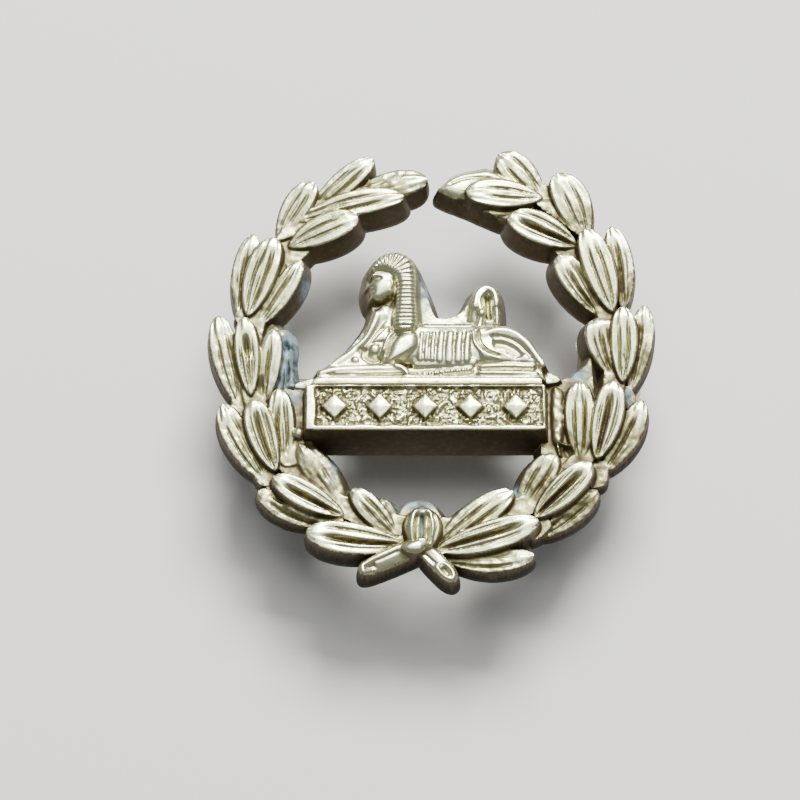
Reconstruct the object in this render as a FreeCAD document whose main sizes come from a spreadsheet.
import FreeCAD, Part
import Sketcher
import os

# A small die-struck cap badge: a laurel wreath tied with a bow, with a sphinx lying on a tablet
# inside it. The front is +Z, the top of the badge is +Y. The origin is on the plane of the back
# rim, midway between the two wire lugs. All sizes are in millimetres.

SIZES = {
    # the struck sheet
    "sheet_metal": 0.7,
    "web_top": 1.3,
    # the wreath's band between and under the leaves
    "wreath_middle_x": 0.1,
    "wreath_middle_y": 0.3,
    "band_inner_radius": 10.3,
    "band_outer_radius": 12.5,
    "outer_leaf_top": 1.75,
    "middle_leaf_top": 2.2,
    "inner_leaf_top": 1.95,
    "hollow_inner_radius": 10.95,
    "hollow_outer_radius": 11.95,
    # the tablet and the plinth that the sphinx lies on
    "tablet_left": 7.85,
    "tablet_right": 7.1,
    "tablet_foot": 5.5,
    "tablet_head": 2.25,
    "tablet_top": 3.0,
    "tablet_ground": 2.75,
    "tablet_rim": 0.4,
    "plinth_top": 2.6,
    # the sphinx, in four steps of relief
    "sphinx_web_top": 1.5,
    "sphinx_body_top": 2.5,
    "sphinx_limb_top": 2.8,
    "sphinx_head_top": 3.0,
    # the bow
    "bow_top": 2.3,
    "knot_top": 2.55,
    "ribbon_top": 1.8,
    # the lugs, their tabs and the braze round their feet
    "lug_wire": 1.3,
    "lug_half_pitch": 9.95,
    "lug_bend_radius": 1.75,
    "lug_bend_depth": 3.0,
    "tab_top": 0.9,
    "seat_depth": 0.15,
    "braze_radius": 0.85,
    "braze_height": 0.6,
    # the split pin
    "pin_radius": 0.8,
    "pin_slit": 0.12,
    "pin_tip": 12.6,
    "pin_short_tip": 11.9,
    "eye_middle": 12.1,
    "eye_outer_radius": 1.2,
}

LUG_SIDES = {"left": -1, "right": 1}
LUG_FEET = {"upper": 1, "lower": -1}

# Every leaf is a lens: stalk end, tip, greatest width. Each list is one step of the relief, and
# no two leaves of one list touch.
OUTER_LEAVES = [
    ((-7.6, 10.3), (-3.8, 13.85), 1.4),
    ((-9.5, 8.6), (-7.6, 12.15), 1.5),
    ((-11.9, 3.1), (-11.2, 8.4), 1.3),
    ((-12.1, -2.9), (-13.3, 2.9), 1.7),
    ((-10.3, -8.2), (-13.0, -3.3), 1.7),
    ((-6.9, -11.1), (-10.75, -9.0), 1.3),
    ((-1.9, -12.5), (-7.5, -11.8), 2.0),
    ((7.0, 11.3), (4.5, 14.15), 1.7),
    ((9.7, 8.5), (8.2, 12.6), 2.0),
    ((12.0, 3.5), (11.4, 8.9), 1.3),
    ((12.4, -2.0), (13.5, 3.5), 1.6),
    ((10.6, -7.7), (13.2, -3.0), 1.6),
    ((6.8, -11.9), (10.2, -9.0), 1.2),
    ((1.0, -13.4), (6.3, -13.4), 1.5),
]
INNER_LEAVES = [
    ((-5.2, 11.2), (-0.45, 12.6), 1.6),
    ((-9.0, 7.8), (-4.8, 9.7), 1.9),
    ((-10.9, 2.3), (-8.4, 6.5), 1.2),
    ((-10.3, -2.8), (-9.9, 1.9), 1.3),
    ((-9.2, -7.2), (-9.5, -2.2), 1.4),
    ((-5.4, -10.2), (-8.1, -5.9), 1.8),
    ((-2.1, -12.0), (-4.7, -8.9), 1.3),
    ((4.5, 12.8), (0.9, 12.1), 1.4),
    ((9.1, 7.9), (5.1, 9.7), 2.1),
    ((10.5, 3.3), (8.5, 6.9), 1.2),
    ((11.3, -1.0), (10.6, 2.5), 1.9),
    ((9.2, -6.8), (9.2, -1.75), 1.75),
    ((5.5, -10.0), (7.5, -6.6), 1.6),
    ((0.2, -12.8), (4.8, -9.1), 1.7),
]
MIDDLE_LEAVES = [
    ((-8.3, 9.5), (-1.9, 11.2), 1.5),
    ((-11.4, 2.9), (-9.9, 8.0), 1.9),
    ((-11.2, -2.5), (-11.7, 2.5), 1.3),
    ((-9.6, -7.6), (-11.1, -3.0), 1.7),
    ((-5.5, -10.5), (-9.7, -8.2), 1.5),
    ((6.9, 11.1), (2.4, 11.4), 1.6),
    ((11.3, 3.3), (9.8, 8.6), 1.9),
    ((11.9, -1.6), (12.0, 3.2), 1.6),
    ((10.2, -6.8), (11.4, -1.8), 1.9),
    ((6.4, -10.7), (9.75, -7.3), 1.7),
    ((0.3, -12.95), (6.4, -11.15), 1.9),
]

# Outlines of the figure. A plain pair is the end of a straight line, a pair of pairs is an arc's
# middle and end.
SPHINX_WEB = [
    (-7.6, -1.5), (-6.8, -0.8), (-6.0, -0.2), (-5.0, 1.0), (-4.2, 2.1), (-3.7, 3.0), (-3.7, 4.0),
    ((-3.6, 6.6), (-2.3, 7.4)), ((-1.3, 7.0), (-0.95, 6.2)), (0.25, 3.0), (1.2, 2.95),
    ((2.0, 3.5), (2.4, 4.3)), ((3.4, 5.3), (4.25, 4.2)), (4.4, 2.0), (5.0, 1.85),
    ((6.4, 0.8), (6.95, -0.5)), (6.95, -1.5),
]
SPHINX_BODY = [
    (-7.0, -1.5), (-6.0, -0.6), (-4.9, 0.5), (-4.2, 1.6), (-3.6, 2.8), (-2.6, 2.6), (-0.8, 2.4),
    (2.7, 2.4), (4.4, 2.0), ((6.0, 0.9), (6.6, -0.5)), (6.6, -1.5),
]
HEADDRESS = [
    (-3.5, 3.9), ((-3.3, 6.7), (-2.3, 7.2)), ((-1.4, 6.9), (-1.0, 6.1)), (-0.95, 2.1), (-2.3, 2.1),
    (-2.3, 3.9),
]
TAIL = [
    (2.8, 2.0), (3.0, 4.2), ((3.4, 4.9), (3.75, 4.2)), (3.9, 2.0), (4.35, 2.0), (4.2, 4.3),
    ((3.4, 5.25), (2.6, 4.3)), (2.4, 2.0),
]
FORELEG = [(-7.0, -1.4), (-6.6, -0.75), (-1.2, -0.55), (-1.2, -1.4)]
HIND_FOOT = [(2.9, -1.4), (2.9, -0.5), (6.2, -0.3), (6.3, -1.4)]
SHOULDER = [(-2.9, -0.4), ((-3.0, 1.2), (-2.3, 1.9)), ((-1.2, 1.0), (-1.1, -0.6))]

RIBS = 8
RIB_FIRST_X = -0.7
RIB_PITCH = 0.43
RIB_WIDTH = 0.24
RIB_FOOT, RIB_HEAD = 0.0, 2.0

PELLETS_X = [-6.0, -3.2, -0.4, 2.4, 5.2]
PELLET_Y = -3.85
PELLET_HALF_WIDTH, PELLET_HALF_HEIGHT = 0.75, 0.8

HAUNCH_MIDDLE, HAUNCH_RADIUS = (4.9, 0.3), 1.3
PLINTH_LEFT, PLINTH_RIGHT, PLINTH_FOOT, PLINTH_HEAD = -7.6, 6.9, -2.4, -1.4

BOW_LOOP_MIDDLE, BOW_LOOP_HALF_WIDTH, BOW_LOOP_HALF_HEIGHT = (-0.6, -11.4), 1.3, 1.6
KNOT_MIDDLE, KNOT_RADIUS = (-1.0, -13.0), 0.75
LEFT_RIBBON = [(-0.6, -12.6), (-1.2, -13.7), (-4.4, -15.0), (-5.0, -14.1), (-1.8, -12.6)]
RIGHT_RIBBON = [
    (-0.9, -13.0), (0.3, -14.7), ((1.0, -15.5), (1.75, -15.3)), ((1.95, -14.7), (1.3, -14.1)),
    (0.1, -12.9),
]
LEFT_BRIDGE = [(-10.0, -6.8), (-10.0, -2.0), (-7.4, -2.3), (-7.4, -5.45), (-7.0, -6.8)]
RIGHT_BRIDGE = [(10.0, -6.8), (10.0, -2.0), (6.8, -2.3), (6.8, -5.45), (7.2, -6.8)]
TAB_INNER_X = {"left": 8.56, "right": 9.05}
TAB_OUTER_X, TAB_HALF_HEIGHT = 10.8, 2.8
FLANK_DIP = 0.3
BAND_ENDS = (91.5, 447.5)
HOLLOW_SPANS = ((98, 158), (202, 338), (382, 442))
SPHINX_HOLLOW = [(-5.6, -2.6), (-3.6, 1.8), (4.0, 1.4), (5.8, 0.0), (5.8, -2.6)]

doc = FreeCAD.newDocument("cap_badge")
sheet = doc.addObject("Spreadsheet::Sheet", "sizes")
for row, (alias, value) in enumerate(SIZES.items(), start=1):
    sheet.set("A%d" % row, alias)
    sheet.set("B%d" % row, str(value))
    sheet.setAlias("B%d" % row, alias)
doc.recompute()


def vector(point, height=0.0):
    return FreeCAD.Vector(point[0], point[1], height)


def new_body(label):
    body = doc.addObject("PartDesign::Body", label)
    body.Label = label
    return body


def new_sketch(body, name, role="XY_Plane"):
    sketch = body.newObject("Sketcher::SketchObject", name)
    plane = [feature for feature in body.Origin.OriginFeatures if feature.Role == role][0]
    sketch.AttachmentSupport = [(plane, "")]
    sketch.MapMode = "FlatFace"
    return sketch


def draw_path(sketch, steps):
    """Draws a closed outline from lines and three-point arcs."""
    last = steps[-1][1] if isinstance(steps[-1][0], tuple) else steps[-1]
    for step in steps:
        if isinstance(step[0], tuple):
            middle, end = step
            sketch.addGeometry(Part.Arc(vector(last), vector(middle), vector(end)), False)
        else:
            end = step
            sketch.addGeometry(Part.LineSegment(vector(last), vector(end)), False)
        last = end


def draw_lens(sketch, stalk, tip, width):
    """Draws a leaf: two arcs that meet at its stalk and at its tip."""
    start, end = vector(stalk), vector(tip)
    along = end - start
    aside = FreeCAD.Vector(-along.y, along.x, 0).normalize() * (width / 2)
    middle = (start + end) / 2
    sketch.addGeometry(Part.Arc(start, middle + aside, end), False)
    sketch.addGeometry(Part.Arc(end, middle - aside, start), False)


def pad(body, name, sketch, height):
    """Raises a sketch on the back plane to a height that the sheet holds."""
    feature = body.newObject("PartDesign::Pad", name)
    feature.Profile = sketch
    feature.setExpression("Length", "sizes." + height)
    doc.recompute()


def pocket(body, name, sketch, depth, from_front=False):
    """Cuts a sketch into the body, from the back plane forwards or from the sketch backwards."""
    before = body.Shape.Volume
    feature = body.newObject("PartDesign::Pocket", name)
    feature.Profile = sketch
    feature.setExpression("Length", depth)
    feature.Reversed = not from_front
    doc.recompute()
    if body.Shape.Volume >= before:
        raise RuntimeError(name + " cuts nothing")


def raise_path(body, name, steps, height):
    sketch = new_sketch(body, name + "_outline")
    draw_path(sketch, steps)
    pad(body, name, sketch, height)


def raise_circle(body, name, middle, radius, height):
    sketch = new_sketch(body, name + "_outline")
    sketch.addGeometry(Part.Circle(vector(middle), FreeCAD.Vector(0, 0, 1), radius), False)
    pad(body, name, sketch, height)


def ring_path(inner, outer, start_angle, end_angle):
    """The outline of a ring about the wreath's middle, open between the two angles."""
    middle = FreeCAD.Vector(sheet.wreath_middle_x, sheet.wreath_middle_y, 0)

    def at(radius, angle):
        turn = FreeCAD.Rotation(FreeCAD.Vector(0, 0, 1), angle)
        point = middle + turn.multVec(FreeCAD.Vector(radius, 0, 0))
        return (point.x, point.y)

    half_way = (start_angle + end_angle) / 2
    return [
        at(outer, start_angle),
        (at(outer, half_way), at(outer, end_angle)),
        at(inner, end_angle),
        (at(inner, half_way), at(inner, start_angle)),
    ]


def make_wreath(body):
    band = new_sketch(body, "band_outline")
    draw_path(band, ring_path(sheet.band_inner_radius, sheet.band_outer_radius, *BAND_ENDS))
    pad(body, "band", band, "web_top")
    for name, leaves in (("outer", OUTER_LEAVES), ("inner", INNER_LEAVES), ("middle", MIDDLE_LEAVES)):
        sketch = new_sketch(body, name + "_leaf_outlines")
        for stalk, tip, width in leaves:
            draw_lens(sketch, stalk, tip, width)
        pad(body, name + "_leaves", sketch, name + "_leaf_top")
    raise_path(body, "left_bridge", LEFT_BRIDGE, "web_top")
    raise_path(body, "right_bridge", RIGHT_BRIDGE, "web_top")


def rectangle(left, foot, right, head):
    return [(left, foot), (right, foot), (right, head), (left, head)]


def make_tablet(body):
    left, right = -sheet.tablet_left, sheet.tablet_right
    foot, head, rim = -sheet.tablet_foot, -sheet.tablet_head, sheet.tablet_rim
    raise_path(body, "tablet", rectangle(left, foot, right, head), "tablet_top")
    ground = new_sketch(body, "tablet_ground_outline")
    ground.setExpression(".AttachmentOffset.Base.z", "sizes.tablet_top")
    draw_path(ground, rectangle(left + rim, foot + rim, right - rim, head - rim))
    pocket(body, "tablet_ground", ground, "sizes.tablet_top - sizes.tablet_ground", from_front=True)
    pellets = new_sketch(body, "pellet_outlines")
    for x in PELLETS_X:
        draw_path(pellets, [
            (x - PELLET_HALF_WIDTH, PELLET_Y), (x, PELLET_Y - PELLET_HALF_HEIGHT),
            (x + PELLET_HALF_WIDTH, PELLET_Y), (x, PELLET_Y + PELLET_HALF_HEIGHT),
        ])
    pad(body, "pellets", pellets, "tablet_top")
    plinth = rectangle(PLINTH_LEFT, PLINTH_FOOT, PLINTH_RIGHT, PLINTH_HEAD)
    raise_path(body, "plinth", plinth, "plinth_top")


def make_sphinx(body):
    raise_path(body, "sphinx_web", SPHINX_WEB, "sphinx_web_top")
    raise_path(body, "sphinx_body", SPHINX_BODY, "sphinx_body_top")
    raise_path(body, "headdress", HEADDRESS, "sphinx_head_top")
    raise_path(body, "tail", TAIL, "sphinx_body_top")
    raise_path(body, "foreleg", FORELEG, "sphinx_limb_top")
    raise_path(body, "hind_foot", HIND_FOOT, "sphinx_limb_top")
    raise_path(body, "shoulder", SHOULDER, "sphinx_limb_top")
    raise_circle(body, "haunch", HAUNCH_MIDDLE, HAUNCH_RADIUS, "sphinx_limb_top")
    ribs = new_sketch(body, "rib_outlines")
    for index in range(RIBS):
        x = RIB_FIRST_X + index * RIB_PITCH
        draw_path(ribs, rectangle(x, RIB_FOOT, x + RIB_WIDTH, RIB_HEAD))
    pad(body, "ribs", ribs, "sphinx_limb_top")


def make_bow(body):
    loop = new_sketch(body, "bow_loop_outline")
    middle = vector(BOW_LOOP_MIDDLE)
    top = middle + FreeCAD.Vector(0, BOW_LOOP_HALF_HEIGHT, 0)
    side = middle + FreeCAD.Vector(BOW_LOOP_HALF_WIDTH, 0, 0)
    loop.addGeometry(Part.Ellipse(top, side, middle), False)
    pad(body, "bow_loop", loop, "bow_top")
    raise_path(body, "left_ribbon", LEFT_RIBBON, "ribbon_top")
    raise_path(body, "right_ribbon", RIGHT_RIBBON, "ribbon_top")
    raise_circle(body, "knot", KNOT_MIDDLE, KNOT_RADIUS, "knot_top")


def make_back(body):
    """Adds the tabs under the lugs' feet, then hollows the back of the strike."""
    for side, sign in LUG_SIDES.items():
        ends = sorted((sign * TAB_INNER_X[side], sign * TAB_OUTER_X))
        tab = rectangle(ends[0], -TAB_HALF_HEIGHT, ends[1], TAB_HALF_HEIGHT)
        raise_path(body, side + "_tab", tab, "tab_top")
    hollow = new_sketch(body, "wreath_hollow_outlines")
    inner, outer = sheet.hollow_inner_radius, sheet.hollow_outer_radius
    for start_angle, end_angle in HOLLOW_SPANS:
        draw_path(hollow, ring_path(inner, outer, start_angle, end_angle))
    pocket(body, "wreath_hollow", hollow, "sizes.web_top - sizes.sheet_metal")
    centre = new_sketch(body, "tablet_hollow_outline")
    margin = sheet.sheet_metal
    draw_path(centre, rectangle(
        margin - sheet.tablet_left, margin - sheet.tablet_foot,
        sheet.tablet_right - margin, -sheet.tablet_head - margin,
    ))
    pocket(body, "tablet_hollow", centre, "sizes.tablet_ground - sizes.sheet_metal")
    figure = new_sketch(body, "sphinx_hollow_outline")
    draw_path(figure, SPHINX_HOLLOW)
    pocket(body, "sphinx_hollow", figure, "sizes.sphinx_web_top - sizes.sheet_metal / 2")
    seats = new_sketch(body, "lug_seat_outlines")
    for sign in LUG_SIDES.values():
        for foot in LUG_FEET.values():
            middle = FreeCAD.Vector(sign * sheet.lug_half_pitch, foot * sheet.lug_bend_radius, 0)
            seats.addGeometry(Part.Circle(middle, FreeCAD.Vector(0, 0, 1), sheet.braze_radius), False)
    pocket(body, "lug_seats", seats, "sizes.seat_depth")


def make_stamping():
    body = new_body("badge_stamping")
    make_wreath(body)
    make_tablet(body)
    make_sphinx(body)
    make_bow(body)
    make_back(body)
    return body


def make_lug(side, sign):
    """One wire lug: half a ring with two straight legs, brazed into its seats."""
    name = "lug_" + side
    bend = doc.addObject("Part::Torus", name + "_bend")
    bend.setExpression("Radius1", "sizes.lug_bend_radius")
    bend.setExpression("Radius2", "sizes.lug_wire / 2")
    bend.Angle3 = 180
    bend.Placement = FreeCAD.Placement(
        FreeCAD.Vector(0, 0, -sheet.lug_bend_depth),
        FreeCAD.Rotation(FreeCAD.Vector(0, 1, 0), FreeCAD.Vector(0, 0, -1), FreeCAD.Vector(1, 0, 0), "XYZ"),
    )
    legs = []
    for foot, end in LUG_FEET.items():
        leg = doc.addObject("Part::Cylinder", name + "_" + foot + "_leg")
        leg.setExpression("Radius", "sizes.lug_wire / 2")
        leg.setExpression("Height", "sizes.lug_bend_depth + sizes.seat_depth")
        leg.Placement.Base = FreeCAD.Vector(0, end * sheet.lug_bend_radius, -sheet.lug_bend_depth)
        legs.append(leg)
    lug = doc.addObject("Part::MultiFuse", name)
    lug.Shapes = [bend] + legs
    lug.Refine = True
    lug.Label = name
    lug.Placement.Base = FreeCAD.Vector(sign * sheet.lug_half_pitch, 0, 0)
    return lug


def make_braze(side, sign, foot, end):
    """The fillet of brazing metal round one foot of a lug, with a hollow flank."""
    name = "braze_" + side + "_" + foot
    body = new_body(name)
    sketch = new_sketch(body, name + "_profile", "XZ_Plane")
    wire, edge = sheet.lug_wire / 2, sheet.braze_radius
    top, low = sheet.seat_depth, sheet.seat_depth - sheet.braze_height
    flank = (wire + FLANK_DIP * (edge - wire), FLANK_DIP * low)
    draw_path(sketch, [(wire, top), (edge, top), (edge, 0), (flank, (wire, low))])
    ring = body.newObject("PartDesign::Revolution", name + "_ring")
    ring.Profile = sketch
    ring.ReferenceAxis = (sketch, ["V_Axis"])
    ring.Angle = 360
    body.Placement.Base = FreeCAD.Vector(sign * sheet.lug_half_pitch, end * sheet.lug_bend_radius, 0)
    return body


def make_pin():
    """The split pin: half-round wire bent into an eye, with its two legs side by side."""
    body = new_body("split_pin")
    thickness, middle = sheet.pin_radius, sheet.eye_middle
    outer = sheet.eye_outer_radius
    eye = new_sketch(body, "eye_profile", "XZ_Plane")
    draw_path(eye, [
        (middle + outer - thickness, -sheet.pin_radius),
        ((middle + outer, 0), (middle + outer - thickness, sheet.pin_radius)),
    ])
    axis = Part.LineSegment(FreeCAD.Vector(middle, -outer, 0), FreeCAD.Vector(middle, outer, 0))
    eye.addGeometry(axis, True)
    turn = body.newObject("PartDesign::Revolution", "eye")
    turn.Profile = eye
    turn.ReferenceAxis = (eye, ["Axis0"])
    turn.Angle = 360
    doc.recompute()
    legs = new_sketch(body, "leg_profile", "YZ_Plane")
    legs.addGeometry(Part.Circle(FreeCAD.Vector(0, 0, 0), FreeCAD.Vector(0, 0, 1), 1.0), False)
    legs.addConstraint(Sketcher.Constraint("Radius", 0, 1.0))
    legs.setExpression("Constraints[0]", "sizes.pin_radius")
    legs.setExpression(".AttachmentOffset.Base.z", "-sizes.pin_tip")
    both = body.newObject("PartDesign::Pad", "legs")
    both.Profile = legs
    reach = "sizes.pin_tip + sizes.eye_middle - sizes.eye_outer_radius + sizes.pin_radius / 2"
    both.setExpression("Length", reach)
    doc.recompute()
    half, past = sheet.pin_slit / 2, -sheet.pin_tip - 1
    slit = rectangle(past, -half, middle, half)
    short_end = rectangle(past, 0, -sheet.pin_short_tip, 2 * sheet.pin_radius)
    for name, outline in (("slit", slit), ("short_end", short_end)):
        sketch = new_sketch(body, name + "_outline")
        draw_path(sketch, outline)
        cut = body.newObject("PartDesign::Pocket", name)
        cut.Profile = sketch
        cut.Type = "ThroughAll"
        cut.Midplane = True
        doc.recompute()
    body.Placement.Base = FreeCAD.Vector(0, 0, -sheet.lug_bend_depth)
    return body


def check(objects):
    for item in doc.Objects:
        if "Invalid" in item.State or "Error" in item.State:
            raise RuntimeError("%s is %s" % (item.Name, item.State))
    for item in objects:
        if item.Shape.isNull() or not item.Shape.isValid():
            raise RuntimeError(item.Label + " has no valid shape")
        if len(item.Shape.Solids) != 1:
            raise RuntimeError("%s has %d solids" % (item.Label, len(item.Shape.Solids)))


def main():
    nodes = [make_stamping(), make_pin()]
    for side, sign in LUG_SIDES.items():
        nodes.append(make_lug(side, sign))
        for foot, end in LUG_FEET.items():
            nodes.append(make_braze(side, sign, foot, end))
    doc.recompute()
    check(nodes)
    os.makedirs("parts", exist_ok=True)
    for item in nodes:
        item.Shape.exportStep("parts/" + item.Label + ".step")
        print("%-20s %8.2f mm3" % (item.Label, item.Shape.Volume))


main()
